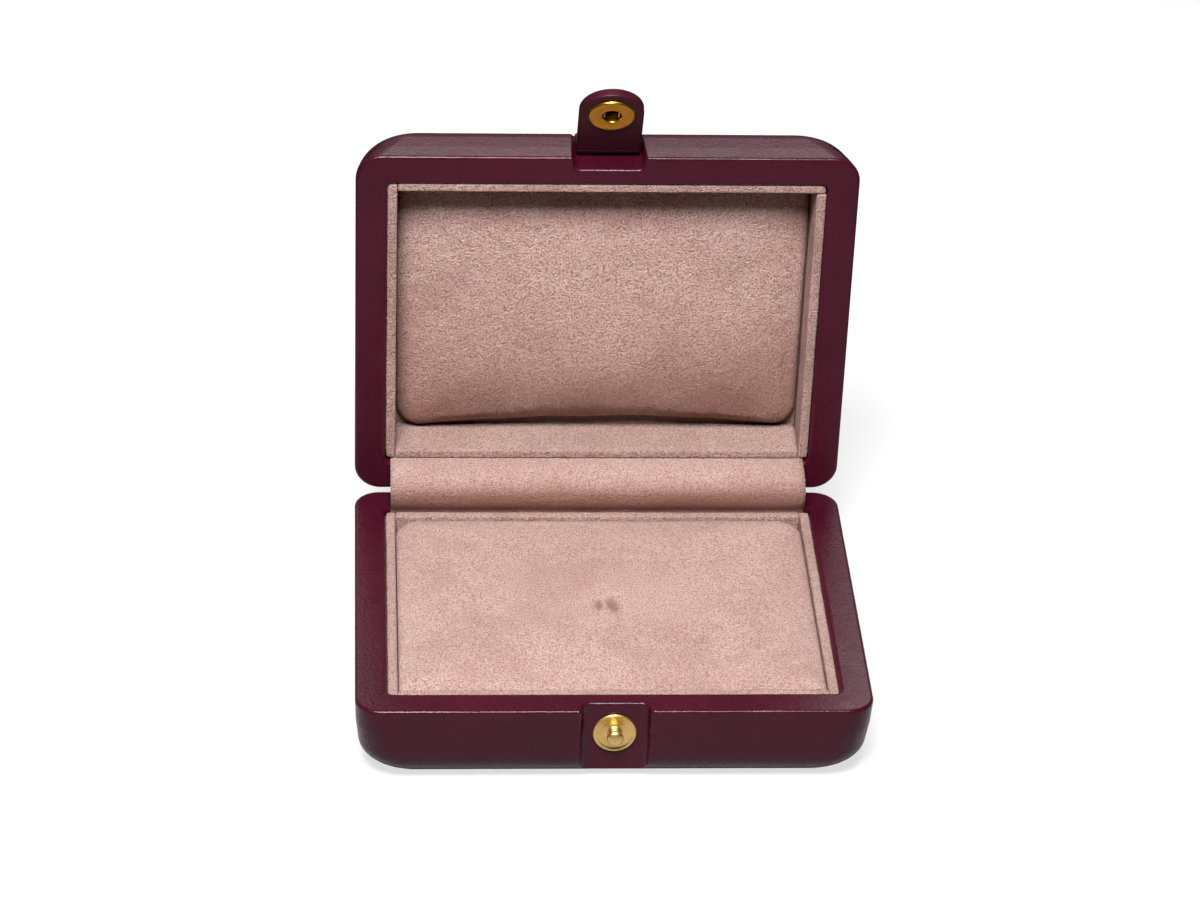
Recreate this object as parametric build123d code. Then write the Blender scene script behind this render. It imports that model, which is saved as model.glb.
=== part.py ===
from build123d import *
import math
import os

# Gemstone storage case, standing open. Millimetres, +Z up, front towards -Y.
# The origin is the centre of the base's underside.

# Outside of the two halves, measured at their rims
case_width = 120.0
case_depth = 94.3
base_height = 21.2
lid_height = 18.3
rim_corner_radius = 6.0
base_face_corner_radius = 10.0
lid_face_corner_radius = 16.0
face_edge_radius = 8.0
base_wall_camber = 0.8
lid_wall_camber = 0.3

# Walls: a wooden core wrapped in leather, which turns over the rim and down inside
wall_thickness = 7.6
leather_thickness = 0.8
leather_turn_in = 7.0
rim_outer_round = 0.7
rim_inner_round = 1.1
base_floor_thickness = 4.0
lid_floor_thickness = 3.0
cavity_corner_radius = 1.5
floor_card_thickness = 1.0
bottom_panel_margin = 15.0

# Hinge line, which is the fold of the leather spine behind the rims
closed_gap = 0.3
open_angle = 88.4
spine_thickness = 0.7
spine_end_margin = 9.0
spine_reach = 7.5
spine_corner_size = 1.0
gusset_thickness = 0.8
gusset_end_gap = 1.2
gusset_tuck = 5.0

# Suede-covered lining strips that stand round each hollow
lining_thickness = 2.3
lining_suede_thickness = 0.5
lining_drop = 0.6
lining_back_turn = 6.0
lining_edge_round = 0.4
lid_corner_gap = 1.2

# Upholstered pads
pad_board_thickness = 1.5
pad_suede_thickness = 0.6
pad_corner_radius = 6.0
pad_side_draw = 0.4
base_pad_edge_depth = 0.9
base_pad_round = 1.5
base_pad_crown = 0.5
lid_pad_edge_depth = 10.5
lid_pad_round = 2.4
lid_pad_crown = 2.2
pad_crown_cap = 3.0
tuft_spacing = 2.6
tuft_ball_radius = 1.6
tuft_depth = 0.45

# Recess that the closing tab lies in: its sides curve in from the wall and again into its floor
recess_depth = 3.3
base_recess_width = 15.9
lid_recess_width = 16.9
base_recess_corner_radius = 2.2
lid_recess_corner_radius = 1.6
recess_lip_radius = 1.0
recess_lip_overrun = 0.05

# Closing tab: a leather strap that stands away from the lid when undone
tab_width = 15.3
tab_outer_leather_thickness = 0.9
tab_stiffener_thickness = 0.5
tab_lining_thickness = 0.9
tab_stiffener_margin = 1.2
tab_edge_round = 0.4
strap_edge_round = 0.5
tab_root_depth = 6.44
tab_swing = 64.0
tab_fold_radius = 2.65
tab_tail_end_depth = 13.6

# Press stud: a dished stud on the base, a spring socket in the tab
stud_depth = 8.0
stud_flange_radius = 5.15
stud_flange_height = 0.8
stud_dish_radius = 3.9
stud_dish_height = 0.4
stud_neck_radius = 1.35
stud_neck_height = 1.9
stud_head_radius = 1.9
stud_head_round = 0.8
stud_height = 3.6
stud_rim_round = 0.35
stud_bore_clearance = 0.05
rivet_head_radius = 3.2
rivet_head_thickness = 0.6
rivet_shank_radius = 0.95
rivet_shank_in_stud = 2.2
socket_ring_radius = 5.55
socket_ring_proud = 0.6
socket_bore_radius = 2.25
socket_barrel_wall = 0.35
cap_radius = 5.55
cap_height = 1.0
spring_wire_radius = 0.2
spring_wire_offset = 1.75
spring_wire_height = 1.7

# Clearances
glue_clearance = 0.05
fit_clearance = 0.1
seat_clearance = 0.25

# Detail of the curved forms
wall_steps = 2
edge_steps = 6
crown_steps = 4

# Sizes that follow from the ones above
cavity_half_width = case_width / 2 - wall_thickness
cavity_half_depth = case_depth / 2 - wall_thickness
spine_width = case_width - 2 * spine_end_margin
gusset_width = 2 * (cavity_half_width - gusset_end_gap)
gusset_slot = gusset_thickness + 2 * glue_clearance
tab_thickness = tab_outer_leather_thickness + tab_stiffener_thickness + tab_lining_thickness
lid_rim_height = base_height + closed_gap
hinge_y = case_depth / 2 + spine_thickness / 2
hinge_z = base_height + closed_gap / 2
hinge_axis = Axis((0, hinge_y, hinge_z), (1, 0, 0))
recess_floor_y = -case_depth / 2 + recess_depth
stud_z = base_height - stud_depth
tab_root_height = stud_flange_height + socket_ring_proud + fit_clearance + tab_thickness / 2
tab_root_y = recess_floor_y - tab_root_height
tail_level = glue_clearance + tab_thickness / 2
tab_root_z = lid_rim_height + tab_root_depth
tab_axis = Axis((0, tab_root_y, tab_root_z), (1, 0, 0))
tab_reach = tab_root_z - stud_z


class Half:
    """One half of the case, in its own frame: rim at z = 0, body below it, front towards -Y."""

    def __init__(self, name, height, camber, face_corner, floor, recess_width, recess_corner):
        self.name = name
        self.height = height
        self.camber = camber
        self.face_corner = face_corner
        self.recess_width = recess_width
        self.recess_corner = recess_corner
        self.cavity_depth = height - leather_thickness - floor
        self.card_depth = self.cavity_depth - floor_card_thickness


base_half = Half(
    "base",
    base_height,
    base_wall_camber,
    base_face_corner_radius,
    base_floor_thickness,
    base_recess_width,
    base_recess_corner_radius,
)
lid_half = Half(
    "lid",
    lid_height,
    lid_wall_camber,
    lid_face_corner_radius,
    lid_floor_thickness,
    lid_recess_width,
    lid_recess_corner_radius,
)


def place_base(shape):
    """Stand a shape made in the base's own frame on the ground."""
    return Pos(0, 0, base_height) * shape


def open_lid(shape):
    """Turn a shape that is placed on the shut lid back to where the open lid holds it."""
    return shape.rotate(hinge_axis, -open_angle)


def place_lid(shape):
    """Turn a shape made in the lid's own frame over onto the base, then open it."""
    shut = Pos(0, 0, lid_rim_height) * mirror(shape, about=Plane.XY)
    return open_lid(shut)


def place_tab(shape):
    """Swing a shape made on the shut tab out to its set, then open it with the lid."""
    return open_lid(shape.rotate(tab_axis, -tab_swing))


def slab(x_range, y_range, z_range):
    """A block between the given limits."""
    x_low, x_high = x_range
    y_low, y_high = y_range
    z_low, z_high = z_range
    block = Box(x_high - x_low, y_high - y_low, z_high - z_low)
    return Pos((x_low + x_high) / 2, (y_low + y_high) / 2, (z_low + z_high) / 2) * block


def rounded_prism(half_width, half_depth, corner, top, bottom):
    """A rounded rectangle from one depth below the rim down to another."""
    outline = RectangleRounded(2 * half_width, 2 * half_depth, corner)
    return extrude(Pos(0, 0, -bottom) * outline, bottom - top)


def outside_form(half, skin):
    """The outside of a half, drawn in by skin: cambered walls, a rounded edge and a flat face."""
    wall = half.height - face_edge_radius
    lean = math.atan2(2 * half.camber, wall)
    round_radius = face_edge_radius / (1 - math.sin(lean))
    centre_inset = half.camber + round_radius * math.cos(lean)
    centre_depth = half.height - round_radius
    top = max(skin, 0)
    corner_growth = (half.face_corner - rim_corner_radius) / half.height
    stations = []
    for step in range(wall_steps):
        depth = top + (wall - top) * step / wall_steps
        corner = rim_corner_radius + corner_growth * depth - skin
        stations.append((half.camber * (depth / wall) ** 2 + skin, depth, corner))
    for step in range(edge_steps + 1):
        angle = lean + (math.pi / 2 - lean) * step / edge_steps
        inset = centre_inset - (round_radius - skin) * math.cos(angle)
        depth = centre_depth + (round_radius - skin) * math.sin(angle)
        outer_depth = centre_depth + round_radius * math.sin(angle)
        corner = rim_corner_radius + corner_growth * outer_depth - skin * math.cos(angle)
        stations.append((inset, depth, corner))
    sections = []
    for inset, depth, corner in stations:
        outline = RectangleRounded(case_width - 2 * inset, case_depth - 2 * inset, corner)
        sections.append(Pos(0, 0, -depth) * outline)
    walls = loft(sections[: wall_steps + 1], ruled=True)
    edge = loft(sections[wall_steps:])
    return walls + edge


def recess_cut(half, skin):
    """The notch for the tab down the front wall, made deeper and wider by skin."""
    side = half.recess_width / 2 + skin
    corner = half.recess_corner + skin
    lip = recess_lip_radius - skin
    floor = recess_floor_y + skin
    wall = -case_depth / 2 + skin - recess_lip_overrun
    away = -case_depth
    diagonal = math.sqrt(0.5)

    def half_outline(sign):
        lip_arc = ThreePointArc(
            (sign * (side + lip), wall),
            (sign * (side + lip - lip * diagonal), wall + lip - lip * diagonal),
            (sign * side, wall + lip),
        )
        straight = Line((sign * side, wall + lip), (sign * side, floor - corner))
        corner_arc = ThreePointArc(
            (sign * side, floor - corner),
            (sign * (side - corner + corner * diagonal), floor - corner + corner * diagonal),
            (sign * (side - corner), floor),
        )
        return [lip_arc, straight, corner_arc]

    outline = half_outline(-1) + half_outline(1)
    outline.append(Line((corner - side, floor), (side - corner, floor)))
    outline.append(Polyline((-side - lip, wall), (-side - lip, away), (side + lip, away), (side + lip, wall)))
    return extrude(Pos(0, 0, -2 * half.height) * make_face(outline), 3 * half.height)


def core(half):
    """The wooden core: floor and four walls."""
    body = outside_form(half, leather_thickness) - recess_cut(half, leather_thickness)
    hollow = rounded_prism(
        cavity_half_width + leather_thickness,
        cavity_half_depth + leather_thickness,
        cavity_corner_radius + leather_thickness,
        0,
        half.cavity_depth,
    )
    return body - hollow


def leather_cover(half):
    """The leather over the outside and the rim, turned down inside the hollow."""
    outside = outside_form(half, 0) - recess_cut(half, 0)
    outside = fillet(outside.faces().sort_by(Axis.Z)[-1].edges(), rim_outer_round)
    inside = outside_form(half, leather_thickness) - recess_cut(half, leather_thickness)
    turned = rounded_prism(
        cavity_half_width + leather_thickness,
        cavity_half_depth + leather_thickness,
        cavity_corner_radius + leather_thickness,
        0,
        leather_turn_in,
    )
    mouth = rounded_prism(cavity_half_width, cavity_half_depth, cavity_corner_radius, 0, half.cavity_depth)
    cover = outside - inside + turned - mouth
    mouth_edges = cover.faces().sort_by(Axis.Z)[-1].inner_wires().edges()
    return fillet(mouth_edges, rim_inner_round)


def bottom_panel_form(margin):
    """The leather panel let into the underside, or the opening for it."""
    return rounded_prism(
        case_width / 2 - margin,
        case_depth / 2 - margin,
        rim_corner_radius,
        base_height - leather_thickness,
        base_height,
    )


def floor_card(half):
    """The card glued to the floor of the hollow."""
    return rounded_prism(
        cavity_half_width + leather_thickness - fit_clearance,
        cavity_half_depth + leather_thickness - fit_clearance,
        cavity_corner_radius + leather_thickness,
        half.card_depth,
        half.cavity_depth,
    )


def lining_strip(length, height, in_corners):
    """A card strip and its suede. Back at y = 0, face towards +Y, top at z = 0, length along X."""
    half_length = length / 2
    strip = slab((-half_length, half_length), (0, lining_thickness), (-height, 0))
    if in_corners:
        # The ends stand in the rounded corners of the hollow
        strip = fillet(strip.edges().filter_by(Axis.Z).group_by(Axis.Y)[0], cavity_corner_radius)
    strip = fillet(strip.faces().sort_by(Axis.Z)[-1].edges(), lining_edge_round)
    card = slab(
        (-half_length + lining_suede_thickness, half_length - lining_suede_thickness),
        (lining_suede_thickness, lining_thickness - lining_suede_thickness),
        (-height, -lining_suede_thickness),
    )
    bare_back = slab(
        (-half_length + lining_suede_thickness, half_length - lining_suede_thickness),
        (0, lining_suede_thickness),
        (-height, -lining_back_turn),
    )
    return card, strip - card - bare_back


def lining_places(half):
    """The length and the location of each of the four strips of a half."""
    back_x = cavity_half_width - glue_clearance
    front_y = -cavity_half_depth + glue_clearance
    rear_y = cavity_half_depth - gusset_slot
    side_length = rear_y - front_y
    side_shift = (front_y + rear_y) / 2
    between = 2 * (back_x - lining_thickness - glue_clearance)
    right_length = side_length
    right_shift = side_shift
    front_length = between
    front_shift = 0
    if half is lid_half:
        # On the lid the front strip runs on over the end of the right-hand strip
        right_length = side_length - lining_thickness - glue_clearance
        right_shift = side_shift + (side_length - right_length) / 2
        front_length = between + lining_thickness - lid_corner_gap
        front_shift = (front_length - between) / 2
    top = -lining_drop
    return {
        "front": (front_length, Pos(front_shift, front_y, top)),
        "rear": (between, Pos(0, rear_y, top) * Rot(0, 0, 180)),
        "left": (side_length, Pos(-back_x, side_shift, top) * Rot(0, 0, -90)),
        "right": (right_length, Pos(back_x, right_shift, top) * Rot(0, 0, 90)),
    }


def pad_form(half_width, half_depth, height, edge_round, crown, skin):
    """A cushion standing on z = 0, drawn in by skin: drawn-in sides, rolled edges and a crown."""
    side_top = height - edge_round
    stations = [(pad_side_draw + skin, 0), (skin, side_top)]
    for step in range(1, edge_steps + 1):
        angle = math.pi / 2 * step / edge_steps
        reach = edge_round - skin
        stations.append((edge_round - reach * math.cos(angle), side_top + reach * math.sin(angle)))
    rolled = len(stations)
    run = min(half_width, half_depth) - edge_round - pad_crown_cap
    for step in range(1, crown_steps + 1):
        share = step / crown_steps
        rise = crown * (1 - (1 - share) ** 2)
        stations.append((edge_round + run * share, height - skin + rise))
    sections = []
    for inset, level in stations:
        share = max(0, (inset - edge_round) / run)
        corner = pad_corner_radius * (1 - share) + pad_crown_cap / 2 * share - min(inset, edge_round) / 2
        outline = RectangleRounded(2 * (half_width - inset), 2 * (half_depth - inset), corner)
        sections.append(Pos(0, 0, level) * outline)
    sides = loft(sections[:2], ruled=True)
    roll = loft(sections[1:rolled])
    top = loft(sections[rolled - 1 :], ruled=True)
    return sides + roll + top


def pad_pieces(half, edge_depth, edge_round, crown, tufted):
    """The board, foam and suede cover of a pad, in the half's own frame."""
    height = half.card_depth - edge_depth
    half_width = cavity_half_width - glue_clearance - lining_thickness - seat_clearance
    front_y = -cavity_half_depth + glue_clearance + lining_thickness + seat_clearance
    rear_y = cavity_half_depth - gusset_slot - lining_thickness - seat_clearance
    half_depth = (rear_y - front_y) / 2
    place = Pos(0, (front_y + rear_y) / 2, -half.card_depth)
    outside = pad_form(half_width, half_depth, height, edge_round, crown, 0)
    inside = pad_form(half_width, half_depth, height, edge_round, crown, pad_suede_thickness)
    board_level = slab(
        (-case_width, case_width), (-case_depth, case_depth), (0, pad_board_thickness)
    )
    board = inside & board_level
    foam = inside - board_level
    cover = outside - inside
    if tufted:
        ball_level = height + crown - tuft_depth + tuft_ball_radius
        for side in (-1, 1):
            cover = cover - Pos(side * tuft_spacing / 2, 0, ball_level) * Sphere(tuft_ball_radius)
    return place * board, place * foam, place * cover


def stud_place():
    """The stud's own frame: z outwards from the recess floor."""
    return Pos(0, recess_floor_y, stud_z) * Rot(90, 0, 0)


def disc(radius, low, high):
    """A round piece between two heights."""
    return Pos(0, 0, low) * extrude(Circle(radius), high - low)


def stud_body():
    """The dished flange with its round-headed post, bored for the rivet."""
    flange = disc(stud_flange_radius, 0, stud_flange_height)
    flange = fillet(flange.edges().group_by(Axis.Z)[-1], stud_rim_round)
    flange = flange - disc(stud_dish_radius, stud_dish_height, stud_height)
    neck = disc(stud_neck_radius, 0, stud_height - stud_head_round)
    head = fillet(disc(stud_head_radius, stud_neck_height, stud_height).edges(), stud_head_round)
    bore = disc(rivet_shank_radius + stud_bore_clearance, -1, rivet_shank_in_stud)
    return stud_place() * (flange + neck + head - bore)


def wall_behind_recess():
    """How far the rivet's seat in the core lies behind the recess floor."""
    inner_wall_y = -cavity_half_depth - leather_thickness
    return inner_wall_y - recess_floor_y - rivet_head_thickness - fit_clearance


def stud_rivet():
    """The rivet that holds the stud from inside the front wall."""
    seat = wall_behind_recess()
    shank = disc(rivet_shank_radius, -seat, rivet_shank_in_stud - fit_clearance)
    head = disc(rivet_head_radius, -seat - rivet_head_thickness, -seat)
    return stud_place() * (shank + head)


def rivet_hole():
    """The hole through the front wall for the rivet, with the sinking for its head."""
    seat = wall_behind_recess()
    hole = disc(rivet_shank_radius + glue_clearance, -2 * seat, seat)
    sinking = disc(rivet_head_radius + fit_clearance, -seat - wall_thickness, -seat)
    return stud_place() * (hole + sinking)


def tab_plane():
    """The middle of the shut tab, seen from outside: origin at its root, up along +Y of the plane."""
    return Plane(origin=(0, tab_root_y, tab_root_z), x_dir=(1, 0, 0), z_dir=(0, -1, 0))


def tab_start():
    """Where the straight part of the tab begins, below its root."""
    half_turn = math.radians(tab_swing / 2)
    rise = tab_root_height - tail_level
    return tab_fold_radius * math.tan(half_turn) - rise / math.sin(math.radians(tab_swing))


def tab_outline(margin):
    """The tab's outline: straight sides and a round end about the socket."""
    half_width = tab_width / 2 - margin
    start = tab_start() + margin
    strap = Pos(0, -(start + tab_reach) / 2) * Rectangle(2 * half_width, tab_reach - start)
    return strap + Pos(0, -tab_reach) * Circle(half_width)


def tab_layer(outline, low, high):
    """A layer of the tab between two levels, counted outwards from its middle."""
    return extrude(tab_plane().offset(low) * outline, high - low)


def tab_pieces():
    """The outer leather with its pocket, the stiffener in the pocket and the lining leather."""
    lining_top = -tab_thickness / 2 + tab_lining_thickness
    stiffener_top = lining_top + tab_stiffener_thickness
    outer_top = tab_thickness / 2
    barrel = Pos(0, -tab_reach) * Circle(socket_bore_radius + socket_barrel_wall + glue_clearance)
    barrel_hole = tab_layer(barrel, -tab_thickness, tab_thickness)
    outer = tab_layer(tab_outline(0), lining_top, outer_top)
    outer = fillet(outer.faces().sort_by(Axis.Y)[0].edges(), tab_edge_round)
    stiffener = tab_layer(tab_outline(tab_stiffener_margin), lining_top, stiffener_top)
    lining = tab_layer(tab_outline(0), -tab_thickness / 2, lining_top)
    lining = fillet(lining.faces().sort_by(Axis.Y)[-1].edges(), tab_edge_round)
    return outer - stiffener - barrel_hole, stiffener - barrel_hole, lining - barrel_hole


def socket_place():
    """The socket's own frame on the shut tab: z outwards from the tab's middle."""
    plane = tab_plane()
    return plane.location * Pos(0, -tab_reach, 0)


def socket_ring():
    """The ring on the tab's lining side, with the barrel that passes through the leather."""
    face_level = -tab_thickness / 2 - socket_ring_proud
    barrel_radius = socket_bore_radius + socket_barrel_wall
    ring = disc(socket_ring_radius, face_level, face_level + socket_ring_proud)
    ring = fillet(ring.edges().group_by(Axis.Z)[0], socket_ring_proud * 0.8)
    barrel = disc(barrel_radius, face_level, tab_thickness / 2 - fit_clearance)
    bore = disc(socket_bore_radius, face_level - 1, tab_thickness)
    ring = ring + barrel - bore
    mouth = ring.edges().filter_by(GeomType.CIRCLE).group_by(Axis.Z)[0].sort_by(SortBy.RADIUS)[0]
    return socket_place() * fillet(mouth, socket_barrel_wall * 0.7)


def socket_cap():
    """The domed cap on the outside of the tab."""
    dome_radius = (cap_radius ** 2 + cap_height ** 2) / (2 * cap_height)
    ball = Pos(0, 0, cap_height - dome_radius) * Sphere(dome_radius)
    dome = ball & disc(cap_radius, 0, cap_height + 1)
    return socket_place() * Pos(0, 0, tab_thickness / 2) * dome


def socket_spring():
    """The two spring wires that grip behind the stud's head."""
    clear = socket_bore_radius - glue_clearance
    half_length = math.sqrt(clear ** 2 - (spring_wire_offset + spring_wire_radius) ** 2)
    level = spring_wire_height - tab_root_height
    wires = []
    for side in (-1, 1):
        wire = Cylinder(spring_wire_radius, 2 * half_length, rotation=(90, 0, 0))
        wires.append(socket_place() * Pos(side * spring_wire_offset, 0, level) * wire)
    return Compound(children=wires)


def fold_tail_depth():
    """How far behind the lid's rim the strap lifts off the recess floor."""
    rise = tab_root_height - tail_level
    corner_depth = tab_root_depth + rise / math.tan(math.radians(tab_swing))
    return corner_depth + tab_fold_radius * math.tan(math.radians(tab_swing / 2))


def strap_tail():
    """The end of the strap, glued flat in the lid's recess."""
    half_width = tab_width / 2
    tail = slab(
        (-half_width, half_width),
        (recess_floor_y - glue_clearance - tab_thickness, recess_floor_y - glue_clearance),
        (lid_rim_height + fold_tail_depth(), lid_rim_height + tab_tail_end_depth),
    )
    tail = fillet(tail.edges().filter_by(Axis.Z), strap_edge_round)
    return open_lid(tail)


def strap_fold():
    """The bent length of the strap between its glued end and the tab."""
    centre_y = recess_floor_y - tail_level - tab_fold_radius
    centre_z = lid_rim_height + fold_tail_depth()

    def on_arc(radius, degrees):
        angle = math.radians(degrees)
        return (0, centre_y + radius * math.cos(angle), centre_z - radius * math.sin(angle))

    outer = tab_fold_radius + tab_thickness / 2
    inner = tab_fold_radius - tab_thickness / 2
    outline = [
        ThreePointArc(on_arc(outer, 0), on_arc(outer, tab_swing / 2), on_arc(outer, tab_swing)),
        Line(on_arc(outer, tab_swing), on_arc(inner, tab_swing)),
        ThreePointArc(on_arc(inner, tab_swing), on_arc(inner, tab_swing / 2), on_arc(inner, 0)),
        Line(on_arc(inner, 0), on_arc(outer, 0)),
    ]
    return open_lid(extrude(make_face(outline), tab_width / 2, dir=(1, 0, 0), both=True))


def spine_on(half):
    """The part of the leather spine that is glued to one half's rear wall."""
    skin = outside_form(half, -spine_thickness) - outside_form(half, 0)
    rear = slab((-spine_width / 2, spine_width / 2), (0, case_depth), (-spine_reach, 0))
    return skin & rear


def hinge_spine():
    """The outer leather strip across the back, folded into the corner between the open halves."""
    corner_low = hinge_y - spine_thickness / 2
    fold = slab(
        (-spine_width / 2, spine_width / 2),
        (corner_low, corner_low + spine_corner_size),
        (hinge_z - spine_corner_size / 2, hinge_z + spine_thickness / 2 - glue_clearance),
    )
    return place_base(spine_on(base_half)) + place_lid(spine_on(lid_half)) + fold


def hinge_gusset():
    """The suede strip inside the hinge: a roll from the lid's rear wall down to the base's."""
    half_width = gusset_width / 2
    half_thickness = gusset_thickness / 2
    middle_y = cavity_half_depth - glue_clearance - half_thickness
    base_leg = slab(
        (-half_width, half_width),
        (middle_y - half_thickness, middle_y + half_thickness),
        (base_height - gusset_tuck, base_height),
    )
    lid_leg = slab(
        (-half_width, half_width),
        (middle_y - half_thickness, middle_y + half_thickness),
        (lid_rim_height, lid_rim_height + gusset_tuck),
    )
    turn = math.radians(open_angle)
    from_y = middle_y - hinge_y
    from_z = lid_rim_height - hinge_z
    end_y = hinge_y + from_y * math.cos(turn) + from_z * math.sin(turn)
    end_z = hinge_z - from_y * math.sin(turn) + from_z * math.cos(turn)
    across = end_y - middle_y
    up = end_z - base_height
    roll_radius = (across ** 2 + up ** 2) / (2 * across)
    sweep = math.atan2(up, roll_radius - across)

    def on_roll(radius, angle):
        return (
            0,
            middle_y + roll_radius - radius * math.cos(angle),
            base_height + radius * math.sin(angle),
        )

    outer = roll_radius + half_thickness
    inner = roll_radius - half_thickness
    outline = [
        ThreePointArc(on_roll(outer, 0), on_roll(outer, sweep / 2), on_roll(outer, sweep)),
        Line(on_roll(outer, sweep), on_roll(inner, sweep)),
        ThreePointArc(on_roll(inner, sweep), on_roll(inner, sweep / 2), on_roll(inner, 0)),
        Line(on_roll(inner, 0), on_roll(outer, 0)),
    ]
    roll = extrude(make_face(outline), half_width, dir=(1, 0, 0), both=True)
    return base_leg + open_lid(lid_leg) + roll


def half_nodes(half, place, edge_depth, edge_round, crown, tufted):
    """The pieces that the base and the lid have alike."""
    nodes = {
        half.name + "_core": place(core(half)),
        half.name + "_leather_cover": place(leather_cover(half)),
        half.name + "_floor_card": place(floor_card(half)),
    }
    strip_height = half.card_depth - lining_drop
    for side, (length, location) in lining_places(half).items():
        card, suede = lining_strip(length, strip_height, side in ("left", "right"))
        nodes[half.name + "_lining_" + side + "_card"] = place(location * card)
        nodes[half.name + "_lining_" + side + "_suede"] = place(location * suede)
    board, foam, cover = pad_pieces(half, edge_depth, edge_round, crown, tufted)
    nodes[half.name + "_pad_board"] = place(board)
    nodes[half.name + "_pad_foam"] = place(foam)
    nodes[half.name + "_pad_cover"] = place(cover)
    return nodes


def build_nodes():
    """Every piece of the case by name, where it lies when the case stands open."""
    nodes = {}
    nodes.update(
        half_nodes(base_half, place_base, base_pad_edge_depth, base_pad_round, base_pad_crown, True)
    )
    nodes.update(half_nodes(lid_half, place_lid, lid_pad_edge_depth, lid_pad_round, lid_pad_crown, False))
    nodes["base_core"] = nodes["base_core"] - rivet_hole()
    opening = place_base(bottom_panel_form(bottom_panel_margin))
    nodes["base_leather_cover"] = nodes["base_leather_cover"] - opening - rivet_hole()
    nodes["base_bottom_panel"] = place_base(bottom_panel_form(bottom_panel_margin + fit_clearance))
    nodes["stud"] = stud_body()
    nodes["stud_rivet"] = stud_rivet()
    outer, stiffener, lining = tab_pieces()
    nodes["tab_outer_leather"] = place_tab(outer)
    nodes["tab_stiffener"] = place_tab(stiffener)
    nodes["tab_lining_leather"] = place_tab(lining)
    nodes["socket_ring"] = place_tab(socket_ring())
    nodes["socket_cap"] = place_tab(socket_cap())
    nodes["socket_spring"] = place_tab(socket_spring())
    nodes["tab_strap_tail"] = strap_tail()
    nodes["tab_strap_fold"] = strap_fold()
    nodes["hinge_spine_leather"] = hinge_spine()
    nodes["hinge_gusset_suede"] = hinge_gusset()
    return nodes


os.makedirs("parts", exist_ok=True)
for node_name, node_shape in build_nodes().items():
    export_step(node_shape, os.path.join("parts", node_name + ".step"))
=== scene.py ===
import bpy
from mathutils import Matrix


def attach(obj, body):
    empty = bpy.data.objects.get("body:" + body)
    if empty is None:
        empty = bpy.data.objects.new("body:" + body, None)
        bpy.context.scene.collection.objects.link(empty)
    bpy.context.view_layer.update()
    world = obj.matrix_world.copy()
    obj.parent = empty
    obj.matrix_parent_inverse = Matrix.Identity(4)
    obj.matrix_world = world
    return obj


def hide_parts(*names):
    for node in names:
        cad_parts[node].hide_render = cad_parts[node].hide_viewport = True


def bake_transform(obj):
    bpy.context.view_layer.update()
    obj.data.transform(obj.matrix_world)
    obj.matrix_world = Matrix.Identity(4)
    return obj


bl_info = {
    "name": "Gemstone storage case",
    "version": (1, 0, 0),
    "blender": (4, 5, 0),
    "location": "3D View > Sidebar > Case",
    "description": "Leather, suede and brass for an open gemstone storage case",
    "category": "Object",
}

import math

import bmesh
import bpy
import numpy as np
from bpy.props import FloatProperty, FloatVectorProperty, PointerProperty
from bpy.types import Operator, Panel, PropertyGroup
from mathutils import Matrix, Vector, noise

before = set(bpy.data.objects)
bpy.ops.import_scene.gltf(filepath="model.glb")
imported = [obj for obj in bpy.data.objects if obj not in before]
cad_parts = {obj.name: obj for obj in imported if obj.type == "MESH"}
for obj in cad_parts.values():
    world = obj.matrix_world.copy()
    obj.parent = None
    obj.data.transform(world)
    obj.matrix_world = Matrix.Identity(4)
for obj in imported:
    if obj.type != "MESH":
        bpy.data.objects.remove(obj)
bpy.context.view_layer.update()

MM = 0.001
TINY = 1e-6

# Sizes in millimetres, as in the part's source
CASE_WIDTH = 120.0
CASE_DEPTH = 94.3
WALL = 7.6
LEATHER = 0.8
CLOSED_GAP = 0.3
OPEN_ANGLE = 88.4
SPINE_THICKNESS = 0.7
SPINE_END_MARGIN = 9.0
SPINE_REACH = 7.5
GUSSET_THICKNESS = 0.8
GUSSET_END_GAP = 1.2
GUSSET_TUCK = 5.0
LINING = 2.3
LINING_DROP = 0.6
CAVITY_CORNER = 1.5
SEAT = 0.25
GLUE = 0.05
RECESS_DEPTH = 3.3
STUD_DEPTH = 8.0
TAB_WIDTH = 15.3
TAB_THICKNESS = 2.3
TAB_ROOT_DEPTH = 6.44
TAB_ROOT_HEIGHT = 2.65
TAB_SWING = 64.0
FOLD_RADIUS = 2.65
FACE_ROUND = 8.0
CARD = 1.0

HALVES = {
    "base": {"height": 21.2, "camber": 0.8, "floor": 4.0},
    "lid": {"height": 18.3, "camber": 0.3, "floor": 3.0},
}

# Forms in millimetres that only the scene has
LID_CORNER_GAP = 0.2
STRIP_EDGE = 0.55
STRIP_TURN = 0.75
STRIP_STEP = 1.2
PAD_FILL = 0.21
PAD_FRONT_CORNER = 2.0
PAD_REAR_CORNER = 6.0
PAD_CROWN_FLAT = 3.0
PAD_DRAW = 0.55
SWELL_FROM_EDGE = 4.0
PINCH = (-0.35, -2.3)
PINCH_REACH = 8.0

# How deep a pad's edge lies, its roll and crown, and the share of its height held as it swells
PADS = {
    "base": {"edge_depth": 0.8, "roll": 0.9, "crown": 0.5, "held": 0.35},
    "lid": {"edge_depth": 10.5, "roll": 2.4, "crown": 2.2, "held": 0.2},
}

# How many times its own size a pad has while its suede swells, and counts of steps
CLOTH_SCALE = 10.0
CLOTH_STEPS = 20
TUCK_STEPS = 4
ROLL_STEPS = 28
GUSSET_COLUMNS = 84
FOLD_STEPS = 18

# Each suede's seed, the height of its curls and its lightness. The lightness is painted light and shade:
# one suede made lighter or darker for each piece, as light falls on it
SUEDES = {
    "Lining suede": (1, 2.0, 0.9),
    "Base pad suede": (2, 1.8, 1.04),
    "Lid pad suede": (3, 2.6, 1.24),
    "Gusset suede": (4, 2.3, 1.14),
}
# Point attribute that holds painted shade: 0 none, 1 darkest
PAINTED_SHADE_ATTRIBUTE = "painted_shade"
ROOM_GLOW = 0.05

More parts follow.
